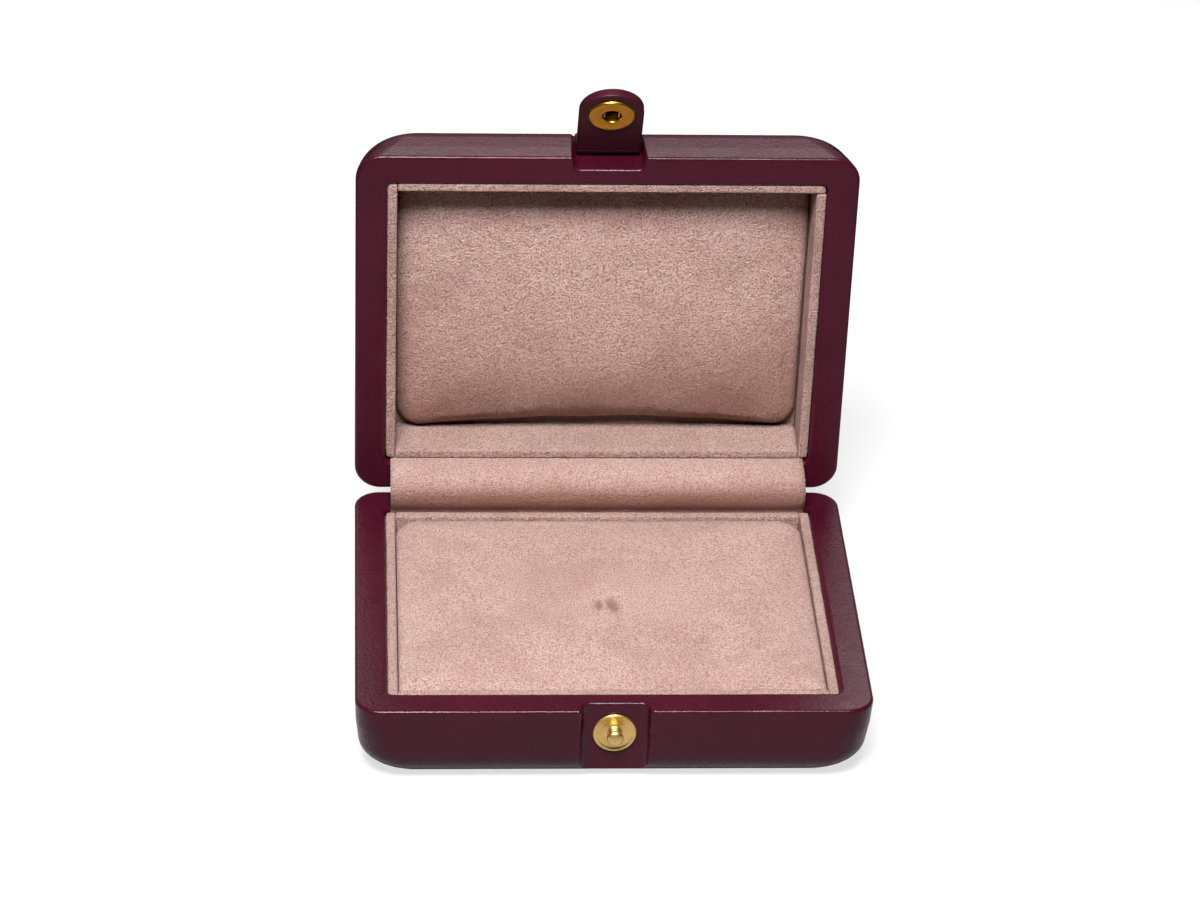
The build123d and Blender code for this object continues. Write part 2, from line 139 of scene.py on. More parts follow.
BASE_HEIGHT = HALVES["base"]["height"]
HALF_WIDTH = CASE_WIDTH / 2 - WALL
HALF_DEPTH = CASE_DEPTH / 2 - WALL
SPINE_WIDTH = CASE_WIDTH - 2 * SPINE_END_MARGIN
GUSSET_WIDTH = 2 * (HALF_WIDTH - GUSSET_END_GAP)
GUSSET_SLOT = GUSSET_THICKNESS + 2 * GLUE
HINGE = Vector((0, CASE_DEPTH / 2 + SPINE_THICKNESS / 2, BASE_HEIGHT + CLOSED_GAP / 2))
RECESS_FLOOR = -CASE_DEPTH / 2 + RECESS_DEPTH
TAB_ROOT = Vector((0, RECESS_FLOOR - TAB_ROOT_HEIGHT, BASE_HEIGHT + CLOSED_GAP + TAB_ROOT_DEPTH))
TAB_REACH = TAB_ROOT.z - (BASE_HEIGHT - STUD_DEPTH)


def turn_about(point, degrees):
    """A turn about a line along X through a point."""
    turn = Matrix.Rotation(math.radians(degrees), 4, "X")
    return Matrix.Translation(point) @ turn @ Matrix.Translation(-point)


OPENED = turn_about(HINGE, -OPEN_ANGLE)
IN_BASE = Matrix.Translation((0, 0, BASE_HEIGHT))
IN_LID = OPENED @ Matrix.Translation((0, 0, BASE_HEIGHT + CLOSED_GAP)) @ Matrix.Diagonal((1, 1, -1, 1))
PLACES = {"base": IN_BASE, "lid": IN_LID}
OUTWARDS = Matrix.Rotation(math.radians(90), 4, "X")
ON_STUD = Matrix.Translation((0, RECESS_FLOOR, BASE_HEIGHT - STUD_DEPTH)) @ OUTWARDS
ON_TAB = (
    OPENED
    @ turn_about(TAB_ROOT, -TAB_SWING)
    @ Matrix.Translation(TAB_ROOT - Vector((0, 0, TAB_REACH)))
    @ OUTWARDS
)


def colour_setting(name, description, default):
    """A colour in the panel."""
    return FloatVectorProperty(
        name=name,
        description=description,
        subtype="COLOR",
        size=3,
        min=0,
        max=1,
        default=default,
    )


def length_setting(name, description, default, least):
    """A length in the panel, in metres."""
    return FloatProperty(
        name=name,
        description=description,
        default=default,
        min=least,
        unit="LENGTH",
        precision=5,
    )


class CaseColours(PropertyGroup):
    leather: colour_setting(
        "Leather", "Colour of the leather covers, spine and tab", (0.041, 0.0026, 0.0098)
    )
    suede: colour_setting(
        "Suede", "Colour of the brushed suede where its nap lies light", (0.52, 0.358, 0.324)
    )
    suede_shade: colour_setting(
        "Suede shade",
        "Colour of the suede where its nap is brushed the other way",
        (0.36, 0.224, 0.192),
    )
    brass: colour_setting("Brass", "Colour of the press stud and its socket", (0.8, 0.55, 0.19))
    floor: colour_setting("Floor", "Colour of the floor as the camera sees it", (0.9, 0.9, 0.9))
    # Near the case this is a painted pool of light, seen only in reflections
    sheen: colour_setting(
        "Floor in gloss",
        "Colour of the floor as the brass and leather mirror it",
        (0.36, 0.34, 0.38),
    )
    table: colour_setting(
        "Floor bounce",
        "Colour of the light that the floor throws back at the case",
        (0.14, 0.14, 0.14),
    )


class CaseSizes(PropertyGroup):
    nap_size: length_setting("Nap", "Size of one curl of the suede's nap", 0.00045, 0.0001)
    grain_size: length_setting("Grain", "Size of one pebble of the leather's grain", 0.0007, 0.0001)
    pad_step: length_setting("Pad mesh", "Spacing of the points on a pad", 0.0011, 0.0005)
    pad_swell: length_setting(
        "Pad swell", "The most that a pad's suede moves as it swells", 0.0007, 0
    )


def colours():
    """The colours set in the panel."""
    return bpy.context.scene.case_colours


def sizes():
    """The sizes set in the panel."""
    return bpy.context.scene.case_sizes


# Mesh helpers: points are in millimetres until their piece is made


def add_piece(name, points, faces, place=Matrix.Identity(4)):
    """A smooth-shaded mesh from points in millimetres, set in its place in the frame."""
    mesh = bpy.data.meshes.new(name)
    to_frame = Matrix.Scale(MM, 4) @ place
    mesh.from_pydata([to_frame @ Vector(point) for point in points], [], faces)
    mesh.validate()
    piece = bpy.data.objects.new(name, mesh)
    bpy.context.scene.collection.objects.link(piece)
    face_outwards(piece)
    mesh.shade_smooth()
    return piece


def face_outwards(piece):
    """Turns every face of a closed piece to look outwards."""
    shape = bmesh.new()
    shape.from_mesh(piece.data)
    bmesh.ops.recalc_face_normals(shape, faces=shape.faces)
    shape.to_mesh(piece.data)
    shape.free()


def bridge(loops):
    """Points and faces of a closed skin over a row of loops that all have as many points."""
    count = len(loops[0])
    points = [point for loop in loops for point in loop]
    faces = []
    for row in range(len(loops) - 1):
        for column in range(count):
            after = (column + 1) % count
            low, high = row * count, (row + 1) * count
            faces.append((low + column, low + after, high + after, high + column))
    last = (len(loops) - 1) * count
    faces.append(tuple(range(count)))
    faces.append(tuple(last + column for column in range(count)))
    return points, faces


def lathe(name, profile, place):
    """A piece turned about the place's Z. Its profile runs from axis to axis, or round a ring."""
    turns = 96
    circle = arc((0, 0), 1, 0, 360, turns)[:-1]
    points = []
    rows = []
    for radius, height in profile:
        ring = circle if radius > TINY else [(0, 0)]
        rows.append(range(len(points), len(points) + len(ring)))
        points += [(radius * x, radius * y, height) for x, y in ring]
    if len(rows[0]) > 1:
        rows.append(rows[0])
    faces = []
    for low, high in zip(rows, rows[1:]):
        for step in range(turns):
            after = (step + 1) % turns
            if len(low) == 1:
                faces.append((low[0], high[after], high[step]))
            elif len(high) == 1:
                faces.append((low[step], low[after], high[0]))
            else:
                faces.append((low[step], low[after], high[after], high[step]))
    return add_piece(name, points, faces, place)


def arc(centre, radius, start, end, steps):
    """Points of an arc in a plane, angles in degrees."""
    points = []
    for step in range(steps + 1):
        angle = math.radians(start + (end - start) * step / steps)
        points.append((centre[0] + radius * math.cos(angle), centre[1] + radius * math.sin(angle)))
    return points


def curve_point(handles, share):
    """A point of the smooth curve that two ends and the handles between them make."""
    points = handles
    while len(points) > 1:
        points = [
            tuple(a + (b - a) * share for a, b in zip(first, second))
            for first, second in zip(points, points[1:])
        ]
    return points[0]


def line_direction(line, step):
    """The way that a line in a plane runs at one of its points."""
    before = line[max(0, step - 1)]
    after = line[min(len(line) - 1, step + 1)]
    return Vector((after[0] - before[0], after[1] - before[1])).normalized()


def clamp(value, low=0.0, high=1.0):
    """A value held between two limits."""
    return min(max(value, low), high)


def smooth_noise(point, size, seed):
    """Gentle noise from -1 to 1 that changes over about the given size."""
    return noise.noise(Vector(point) / size + Vector((seed * 7.31, seed * 3.17, seed * 5.53)))


def wear_noise(piece, amount, size, seed):
    """Moves each point a little along its normal, as on something made by hand."""
    moved = []
    for vertex in piece.data.vertices:
        point = vertex.co / MM
        lift = smooth_noise(point, size, seed) + 0.4 * smooth_noise(point, size * 0.35, seed + 1)
        moved.append(vertex.co + vertex.normal * amount * MM * lift)
    for vertex, place in zip(piece.data.vertices, moved):
        vertex.co = place
    piece.data.update()


def paint_shade_marks(piece, darkness):
    """Marks on each point how much painted shade its suede gets: 0 none, 1 darkest."""
    shades = [darkness(vertex.co / MM) for vertex in piece.data.vertices]
    marks = piece.data.attributes.new(PAINTED_SHADE_ATTRIBUTE, "FLOAT", "POINT")
    marks.data.foreach_set("value", shades)


def smooth_surface(piece):
    """Subdivides a piece once, for good."""
    divide = piece.modifiers.new("Smooth surface", "SUBSURF")
    divide.levels = divide.render_levels = 1
    apply_modifiers(piece)


def apply_modifiers(piece):
    """Makes what a piece's modifiers show its own mesh."""
    graph = bpy.context.evaluated_depsgraph_get()
    mesh = bpy.data.meshes.new_from_object(piece.evaluated_get(graph))
    piece.modifiers.clear()
    piece.data = mesh


# Material helpers


def start_material(name):
    """A new material with a Principled shader on its output."""
    material = bpy.data.materials.new(name)
    material.use_nodes = True
    tree = material.node_tree
    tree.nodes.clear()
    output = tree.nodes.new("ShaderNodeOutputMaterial")
    skin = tree.nodes.new("ShaderNodeBsdfPrincipled")
    tree.links.new(skin.outputs["BSDF"], output.inputs["Surface"])
    return material, tree, skin


def add_node(tree, kind, inputs=None, **settings):
    """A node with its settings, values and incoming links."""
    made = tree.nodes.new("ShaderNode" + kind)
    for key, value in settings.items():
        setattr(made, key, value)
    for key, value in (inputs or {}).items():
        if isinstance(value, bpy.types.NodeSocket):
            tree.links.new(value, made.inputs[key])
        else:
            made.inputs[key].default_value = value
    return made


def object_place(tree):
    """The place on the object itself, which moves with it."""
    return add_node(tree, "TexCoord").outputs["Object"]


def cloud(tree, place, size, detail=2.0, roughness=0.5, distortion=0.0):
    """Noise whose features are about the given size in metres."""
    layout = {"Vector": place, "Scale": 1 / size, "Detail": detail}
    layout |= {"Roughness": roughness, "Distortion": distortion}
    return add_node(tree, "TexNoise", layout).outputs["Fac"]


def spread(tree, value, low, high, to_low=0.0, to_high=1.0):
    """Maps a value from one range to another and holds it there."""
    ends = {"Value": value, "From Min": low, "From Max": high, "To Min": to_low, "To Max": to_high}
    return add_node(tree, "MapRange", ends).outputs["Result"]


def blend_colours(tree, share, first, second):
    """Mixes two colours by a share."""
    made = add_node(tree, "Mix", data_type="RGBA")
    for key, value in ((0, share), (6, first), (7, second)):
        if isinstance(value, bpy.types.NodeSocket):
            tree.links.new(value, made.inputs[key])
        else:
            made.inputs[key].default_value = value if key == 0 else (*value[:3], 1)
    return made.outputs[2]


def calculate(tree, operation, first, second):
    """One step of arithmetic."""
    return add_node(tree, "Math", {0: first, 1: second}, operation=operation).outputs[0]


def raise_bumps(tree, skin, height, distance, strength=1.0):
    """Bumps of the given height in metres."""
    made = add_node(tree, "Bump", {"Height": height, "Distance": distance, "Strength": strength})
    tree.links.new(made.outputs["Normal"], skin.inputs["Normal"])


def scaled(colour, factor):
    """A lighter or darker version of a colour."""
    return tuple(min(1, channel * factor) for channel in colour)


def make_leather(name, colour, grain, gloss):
    """Smooth dyed leather with a fine pebble grain and faint handling marks."""
    material, tree, skin = start_material(name)
    place = object_place(tree)
    layout = {"Vector": place, "Scale": 1 / grain, "Randomness": 0.9}
    pebbles = add_node(tree, "TexVoronoi", layout, feature="SMOOTH_F1")
    pores = cloud(tree, place, grain * 0.45, 2, 0.6)
    dye = cloud(tree, place, 0.022, 3, 0.55)
    handling = cloud(tree, place, 0.009, 4, 0.6, 0.6)
    creases = cloud(tree, place, 0.0035, 3, 0.6, 1.5)
    tone = blend_colours(tree, spread(tree, dye, 0.3, 0.7), scaled(colour, 0.82), scaled(colour, 1.2))
    tone = blend_colours(tree, spread(tree, pores, 0.55, 0.8, 0, 0.25), tone, scaled(colour, 0.55))
    tree.links.new(tone, skin.inputs["Base Color"])
    roughness = spread(tree, handling, 0.3, 0.75, gloss - 0.05, gloss + 0.09)
    tree.links.new(roughness, skin.inputs["Roughness"])
    skin.inputs["Specular IOR Level"].default_value = 0.24
    height = calculate(tree, "MULTIPLY", pebbles.outputs["Distance"], -0.55)
    height = calculate(tree, "ADD", height, calculate(tree, "MULTIPLY", pores, 0.3))
    height = calculate(tree, "ADD", height, calculate(tree, "MULTIPLY", creases, 0.45))
    raise_bumps(tree, skin, height, 0.0001, 0.7)
    return material


def make_suede(name, light, shade, nap, seed, curl):
    """Brushed suede: short curled nap, lighter and darker where it has been stroked, and painted shade
    where a piece marks it.
    """
    material, tree, skin = start_material(name)
    shift = (seed * 0.31, seed * 0.17, 0)
    mapping = add_node(tree, "Mapping", {"Vector": object_place(tree), "Location": shift})
    place = mapping.outputs["Vector"]
    brushed = cloud(tree, place, 0.026, 3, 0.6, 0.8)
    stroked = cloud(tree, place, 0.0075, 3, 0.6, 1.2)
    curls = cloud(tree, place, nap, 2, 0.75, 0.3)
    fibres = cloud(tree, place, nap * 0.6, 2, 0.6, 0.4)
    clumps = cloud(tree, place, nap * 3.2, 2, 0.55, 0.8)
    # Painted shade that some pieces mark on their points
    painted_shade_mask = add_node(tree, "Attribute", attribute_name=PAINTED_SHADE_ATTRIBUTE, attribute_type="GEOMETRY").outputs["Fac"]
    wide = spread(tree, brushed, 0.42, 0.68, 0, 0.75)
    narrow = spread(tree, stroked, 0.48, 0.75, 0, 0.35)
    share = calculate(tree, "ADD", wide, narrow)
    deep = (shade[0] * 0.74, shade[1] * 0.5, shade[2] * 0.41)
    tone = blend_colours(tree, share, light, shade)
    tone = blend_colours(tree, spread(tree, curls, 0.52, 0.42, 0, 0.9), tone, deep)
    tone = blend_colours(tree, spread(tree, fibres, 0.5, 0.62, 0, 0.75), tone, scaled(light, 1.35))
    # Painted shade: marked points are mixed towards a deep brown
    tone = blend_colours(tree, spread(tree, painted_shade_mask, 0, 1, 0, 0.85), tone, scaled(deep, 0.8))
    tree.links.new(tone, skin.inputs["Base Color"])
    skin.inputs["Roughness"].default_value = 0.95
    skin.inputs["Specular IOR Level"].default_value = 0.1
    skin.inputs["Sheen Weight"].default_value = 0.12
    skin.inputs["Sheen Roughness"].default_value = 0.45
    skin.inputs["Sheen Tint"].default_value = (1.0, 0.78, 0.7, 1)
    height = calculate(tree, "ADD", curls, calculate(tree, "MULTIPLY", clumps, 0.6))
    height = calculate(tree, "ADD", height, calculate(tree, "MULTIPLY", fibres, 0.5))
    raise_bumps(tree, skin, height, nap * curl, 1.0)
    return material


def make_brass(name, colour, roughness):
    """Polished brass with fine scratches and a little tarnish."""
    material, tree, skin = start_material(name)
    place = object_place(tree)
    tarnish = cloud(tree, place, 0.0022, 4, 0.6, 0.6)
    scratches = cloud(tree, place, 0.00022, 2, 0.6)
    tone = blend_colours(tree, spread(tree, tarnish, 0.4, 0.75, 0, 0.5), colour, scaled(colour, 0.62))
    tree.links.new(tone, skin.inputs["Base Color"])
    dulled = spread(tree, tarnish, 0.3, 0.75, roughness, roughness + 0.12)
    tree.links.new(dulled, skin.inputs["Roughness"])
    skin.inputs["Metallic"].default_value = 1.0
    raise_bumps(tree, skin, scratches, 0.000006, 0.3)
    return material


def make_plain(name, colour, grain, stretch, roughness, metallic=0.0):
    """Wood, card, foam or steel: a grain drawn out along one way."""
    material, tree, skin = start_material(name)
    mapping = add_node(tree, "Mapping", {"Vector": object_place(tree), "Scale": stretch})
    lines = cloud(tree, mapping.outputs["Vector"], grain, 4, 0.6, 0.4)
    tone = blend_colours(tree, spread(tree, lines, 0.3, 0.7), scaled(colour, 0.72), scaled(colour, 1.12))
    tree.links.new(tone, skin.inputs["Base Color"])
    skin.inputs["Roughness"].default_value = roughness
    skin.inputs["Metallic"].default_value = metallic
    raise_bumps(tree, skin, lines, 0.00005, 0.4)
    return material


def dress(piece, material):
    """Gives a piece one material all over."""
    piece.data.materials.clear()
    piece.data.materials.append(material)


def dress_nodes(names, material):
    """Gives one material to several pieces of the frame."""
    for name in names:
        dress(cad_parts[name], material)


def case_leather():
    """The covers' leather, made once."""
    name, gloss = "Burgundy leather", 0.25
    found = bpy.data.materials.get(name)
    return found or make_leather(name, colours().leather, sizes().grain_size, gloss)


def case_suede(kind):
    """The suede of the linings, of a pad or of the gusset, made once for each."""
    found = bpy.data.materials.get(kind)
    if found:
        return found
    seed, curl, tone = SUEDES[kind]
    # tone is painted light and shade for this piece
    light = scaled(colours().suede, tone)
    shade = scaled(colours().suede_shade, tone)
    return make_suede(kind, light, shade, sizes().nap_size, seed, curl)


# Forms of the pieces


def card_depth(half):
    """Depth of the top of the floor card below the rim."""
    facts = HALVES[half]
    return facts["height"] - LEATHER - facts["floor"] - CARD


def lining_places(half):
    """Length and place of a half's lining strips, and whether each end sits in a round corner."""
    back_x = HALF_WIDTH - GLUE
    front_y = -HALF_DEPTH + GLUE
    rear_y = HALF_DEPTH - GUSSET_SLOT
    side_length = rear_y - front_y
    side_shift = (front_y + rear_y) / 2
    between = 2 * (back_x - LINING - GLUE)
    right_length, right_shift = side_length, side_shift
    front_length, front_shift = between, 0.0
    if half == "lid":
        right_length = side_length - LINING - GLUE
        right_shift = side_shift + (side_length - right_length) / 2
        front_length = between + LINING - LID_CORNER_GAP
        front_shift = (front_length - between) / 2

    def at(x, y, degrees):
        return Matrix.Translation((x, y, -LINING_DROP)) @ Matrix.Rotation(math.radians(degrees), 4, "Z")

    return {
        "front": (front_length, at(front_shift, front_y, 0), (False, half == "lid")),
        "rear": (between, at(0, rear_y, 180), (False, False)),
        "left": (side_length, at(-back_x, side_shift, -90), (True, True)),
        "right": (right_length, at(back_x, right_shift, 90), (half == "base", True)),
    }


def strip_loops(length, height, in_corners):
    """Cross-sections of a suede-covered strip, with soft top edges and its ends turned over."""
    inner = arc((STRIP_EDGE, -STRIP_EDGE), STRIP_EDGE, 180, 90, 5)
    face = arc((LINING - STRIP_EDGE, -STRIP_EDGE), STRIP_EDGE, 90, 0, 5)
    straight = height - 2.0
    levels = [-height + straight * step / 4 for step in range(5)]
    rise = [(0, level) for level in levels]
    drop = [(LINING, level) for level in reversed(levels)]
    outline = rise + inner + face + drop
    ends = [0.0, 0.12, 0.35, STRIP_TURN]
    between = length - 2 * STRIP_TURN
    count = max(12, round(length / STRIP_STEP))
    stations = [-length / 2 + step for step in ends]
    stations += [-length / 2 + STRIP_TURN + between * step / count for step in range(1, count)]
    stations += [length / 2 - step for step in reversed(ends)]
    loops = []
    for x in stations:
        from_end = length / 2 - abs(x)
        pull = 0.5 * (1 - min(1, from_end / STRIP_TURN)) ** 2
        back = pull
        in_corner = in_corners[1] if x > 0 else in_corners[0]
        if in_corner and from_end < CAVITY_CORNER:
            short = CAVITY_CORNER - from_end
            back += CAVITY_CORNER - math.sqrt(CAVITY_CORNER ** 2 - short ** 2)
        loops.append([(x, clamp(y, back, LINING - pull), min(z, -pull)) for y, z in outline])
    return loops


def ring_point(x, y, half_width, half_depth):
    """Moves a point of a rectangular grid onto rounded rectangles inside one another."""
    corner = PAD_FRONT_CORNER if y < 0 else PAD_REAR_CORNER
    inset = min(half_width - abs(x), half_depth - abs(y))
    width, depth = half_width - inset, half_depth - inset
    radius = max(0.0, min(corner - inset * 0.75, width, depth))
    if min(width, depth, radius) < TINY:
        return x, y, inset
    on_side = width - abs(x) < depth - abs(y)
    reach, along = (depth, abs(y)) if on_side else (width, abs(x))
    straight = reach - radius
    path = straight + radius * math.pi / 4
    travel = along / reach * path
    if travel <= straight:
        across, forward = 0.0, travel
    else:
        angle = (travel - straight) / radius
        across = radius * (1 - math.cos(angle))
        forward = straight + radius * math.sin(angle)
    if on_side:
        px, py = width - across, forward
    else:
        px, py = forward, depth - across
    return math.copysign(px, x), math.copysign(py, y), inset


def pad_mesh(half, half_width, half_depth, step):
    """A closed cushion: drawn-in sides, rolled edge and crown, on a grid that follows its outline."""
    facts = PADS[half]
    height = card_depth(half) - facts["edge_depth"]
    roll, crown = facts["roll"], facts["crown"]
    columns = 2 * round(half_width / step)
    rows = 2 * round(half_depth / step)
    points, cells, index = [], [], {}
    crown_reach = min(half_width, half_depth) - roll - PAD_CROWN_FLAT

    def level_at(inset):
        if inset < roll:
            return height - roll + math.sqrt(max(0, roll ** 2 - (roll - inset) ** 2))
        share = min(1, (inset - roll) / crown_reach)
        return height + crown * (1 - (1 - share) ** 2)

    for row in range(rows + 1):
        for column in range(columns + 1):
            x = -half_width + 2 * half_width * column / columns
            y = -half_depth + 2 * half_depth * row / rows
            px, py, inset = ring_point(x, y, half_width, half_depth)
            index[(column, row)] = len(points)
            points.append((px, py, level_at(inset)))
    for row in range(rows):
        for column in range(columns):
            low, high = (column, row), (column + 1, row + 1)
            cells.append((low, (column + 1, row), high, (column, row + 1)))
    faces = [tuple(index[key] for key in cell) for cell in cells]
    border = [(column, 0) for column in range(columns)]
    border += [(columns, row) for row in range(rows)]
    border += [(column, rows) for column in range(columns, 0, -1)]
    border += [(0, row) for row in range(rows, 0, -1)]
    last = [index[key] for key in border]
    bottom = height - roll
    wall_steps = max(2, round(bottom / (step * 1.5)))
    for level in range(1, wall_steps + 1):
        share = level / wall_steps
        z = bottom * (1 - share)
        draw = PAD_DRAW * math.sin(share * math.pi / 2)
        ring = []
        scale_x = (half_width - draw) / half_width
        scale_y = (half_depth - draw) / half_depth
        for key in border:
            x, y, _ = points[index[key]]
            ring.append(len(points))
            points.append((x * scale_x, y * scale_y, z))
        count = len(ring)
        for step_on in range(count):
            after = (step_on + 1) % count
            faces.append((last[after], last[step_on], ring[step_on], ring[after]))
        last = ring
    under = dict(zip(border, last))
    for key, top in index.items():
        if key not in under:
            x, y, _ = points[top]
            under[key] = len(points)
            points.append((x * scale_x, y * scale_y, 0))
    for first, second, third, fourth in cells:
        faces.append((under[first], under[fourth], under[third], under[second]))
    return points, faces


def pad_space(half):
    """Half sizes and middle of the space that a pad fills, as in the part's source."""
    half_width = HALF_WIDTH - GLUE - LINING - SEAT
    front = -HALF_DEPTH + GLUE + LINING + SEAT
    rear = HALF_DEPTH - GUSSET_SLOT - LINING - SEAT
    return half_width, (rear - front) / 2, (front + rear) / 2


def swell(piece, half, half_width, half_depth):
    """Lets a pad's suede swell under light pressure, with its lower part and its edge held."""
    heights = [vertex.co.z for vertex in piece.data.vertices]
    bottom, top = min(heights), max(heights)
    held = piece.vertex_groups.new(name="Held")
    for vertex in piece.data.vertices:
        share = (vertex.co.z - bottom) / (top - bottom)
        weight = 1.0 if share < PADS[half]["held"] else 0.0
        held.add([vertex.index], weight, "REPLACE")
    rest = [vertex.co.copy() for vertex in piece.data.vertices]
    for vertex in piece.data.vertices:
        vertex.co = vertex.co * CLOTH_SCALE
    cloth = piece.modifiers.new("Swell", "CLOTH")
    settings = cloth.settings
    settings.quality = 6
    settings.mass = 0.3
    settings.tension_stiffness = 12
    settings.compression_stiffness = 8
    settings.shear_stiffness = 4
    settings.bending_stiffness = 0.6
    settings.use_pressure = True
    settings.uniform_pressure_force = 2.5
    settings.shrink_min = -0.012
    settings.vertex_group_mass = "Held"
    settings.effector_weights.gravity = 0
    cloth.collision_settings.use_collision = False
    scene = bpy.context.scene
    for step in range(1, CLOTH_STEPS + 1):
        scene.frame_set(step)
    apply_modifiers(piece)
    scene.frame_set(1)
    limit = sizes().pad_swell
    for vertex, start in zip(piece.data.vertices, rest):
        inset = min(half_width - abs(start.x) / MM, half_depth - abs(start.y) / MM)
        move = (vertex.co / CLOTH_SCALE - start) * clamp(inset / SWELL_FROM_EDGE)
        if move.length > limit:
            move = move.normalized() * limit
        vertex.co = start + move
    piece.vertex_groups.clear()
    piece.data.update()


class CASE_OT_covers(Operator):
    """Leather on both covers and the panel under the base"""

    bl_idname = "case.covers"
    bl_label = "Leather covers"

    def execute(self, context):
        names = ["base_leather_cover", "lid_leather_cover", "base_bottom_panel"]
        dress_nodes(names, case_leather())
        return {"FINISHED"}


class CASE_OT_hidden_pieces(Operator):
    """Wood, card and foam that the leather and suede cover"""

    bl_idname = "case.hidden_pieces"
    bl_label = "Hidden pieces"

    def execute(self, context):
        wood = make_plain("Core wood", (0.42, 0.27, 0.14), 0.004, (0.12, 1, 1), 0.6)
        card = make_plain("Brown card", (0.2, 0.13, 0.1), 0.0012, (1, 1, 1), 0.9)
        foam = make_plain("Pad foam", (0.72, 0.66, 0.5), 0.0009, (1, 1, 1), 1.0)
        dress_nodes(["base_core", "lid_core"], wood)
        cards = [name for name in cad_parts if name.endswith(("_card", "_board", "stiffener"))]
        dress_nodes(cards, card)
        dress_nodes(["base_pad_foam", "lid_pad_foam"], foam)
        return {"FINISHED"}


class CASE_OT_linings(Operator):
    """Suede-covered strips that stand round both hollows"""

    bl_idname = "case.linings"
    bl_label = "Lining strips"

    def execute(self, context):
        for half in HALVES:
            height = card_depth(half) - LINING_DROP
            for side, (length, place, in_corners) in lining_places(half).items():
                points, faces = bridge(strip_loops(length, height, in_corners))
                name = half + "_lining_" + side
                strip = add_piece(name + "_cover", points, faces, PLACES[half] @ place)
                wear_noise(strip, 0.05, 9.0, len(name) + length)
                wear_noise(strip, 0.035, 1.6, len(name) + 3)
                dress(strip, case_suede("Lining suede"))
                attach(strip, half)
                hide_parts(name + "_suede", name + "_card")
        return {"FINISHED"}


class CASE_OT_pads(Operator):
    """The padded suede floor of the base and the deeper crowned pad of the lid"""

    bl_idname = "case.pads"
    bl_label = "Pads"

    def execute(self, context):
        step = sizes().pad_step / MM
        for half in HALVES:
            half_width, half_depth, middle = pad_space(half)
            half_width += PAD_FILL
            half_depth += PAD_FILL
            points, faces = pad_mesh(half, half_width, half_depth, step)
            pad = add_piece(half + "_pad", points, faces)
            swell(pad, half, half_width, half_depth)
            self.shape(pad, half, half_width, half_depth)
            smooth_surface(pad)
            # Painted shade: in the base pad's two dimples, and below the lid pad's belly
            if half == "base":
                self.sew(pad)
                paint_shade_marks(pad, self.pinch_shade)
            else:
                paint_shade_marks(pad, self.belly_shade)
            pad.data.transform(
                Matrix.Scale(MM, 4)
                @ PLACES[half]
                @ Matrix.Translation((0, middle, -card_depth(half)))
                @ Matrix.Scale(1 / MM, 4)
            )
            face_outwards(pad)
            pad.data.shade_smooth()
            dress(pad, case_suede(half.capitalize() + " pad suede"))
            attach(pad, half)
            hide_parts(half + "_pad_cover", half + "_pad_foam", half + "_pad_board")
        return {"FINISHED"}

    def shape(self, pad, half, half_width, half_depth):
        """Uneven stuffing, and the lid pad's rear edge drawn in along its middle."""
        height = card_depth(half) - PADS[half]["edge_depth"]
        edge_band, draw_in, middle = 10.0, 3.1, 3.0
        for vertex in pad.data.vertices:
            x, y, z = vertex.co / MM
            share = clamp(z / height)
            if half == "base":
                lift = 0.09 * smooth_noise((x, y, 0), 22, 8)
            else:
                across = max(0.0, 1 - (x / half_width) ** 4)
                lift = 0.28 * smooth_noise((x, y, 0), 26, 5)
                lift += 0.12 * smooth_noise((x, y, 0), 9, 6)
                lift += 2.3 * across * math.exp(-(((y / half_depth - 0.5) / 0.4) ** 2))
                rear = max(0.0, (y - half_depth + edge_band) / edge_band)
                along = max(0.0, math.cos(math.pi * (x - middle) / (2 * half_width * 0.94)))
                wave = 1 + 0.35 * smooth_noise((x, 0, 0), 15, 31)
                y -= draw_in * rear ** 2 * along * wave
            vertex.co = Vector((x, y, z + lift * share)) * MM

    def sew(self, pad):
        """The sewn pinch in the middle of the base pad: two dimples with a ridge between them."""
        lowest = max(vertex.co.z for vertex in pad.data.vertices) / MM - 3.0
        for vertex in pad.data.vertices:
            x, y, z = vertex.co / MM
            if z >= lowest and max(abs(x), abs(y)) <= PINCH_REACH:
                left, right, ridge, pull = self.pinch(x, y)
                vertex.co.z += (0.45 * ridge - 0.7 * left - 0.9 * right - 0.15 * pull) * MM

    def pinch(self, x, y):
        """How far a place is in the left dimple, the right one, the ridge and the pull round them."""
        x, y = x - PINCH[0], y - PINCH[1]
        left = math.exp(-(((x + 1.35) / 0.95) ** 2) - ((y + 0.6) / 2.9) ** 2)
        right = math.exp(-(((x - 1.75 + 0.2 * y) / 1.6) ** 2) - ((y + 0.3) / 3.9) ** 2)
        ridge = math.exp(-(((x + 0.1) / 0.6) ** 2) - (y / 3.6) ** 2)
        pull = math.exp(-((x / 4.5) ** 2) - (y / 4.5) ** 2)
        return left, right, ridge, pull

    def pinch_shade(self, point):
        """Painted shade inside the two dimples, lighter over the ridge between them."""
        lowest = 10.0
        if point.z < lowest or max(abs(point.x), abs(point.y)) > PINCH_REACH:
            return 0.0
        left, right, ridge, _ = self.pinch(point.x, point.y)
        return clamp(1.5 * left ** 2 + 1.4 * right ** 2 - 0.8 * ridge, 0.0, 0.9)

    def belly_shade(self, point):
        """Painted shade below the lid pad's belly, darker towards its rear edge by the hinge."""
        shade_from, shade_over = -8.0, 44.0
        low = clamp((point.y - shade_from) / shade_over)
        uneven = 0.25 * smooth_noise((point.x, point.y, 0), 17, 21)
        return clamp(0.9 * low ** 1.3 + uneven * low, 0.0, 0.9)


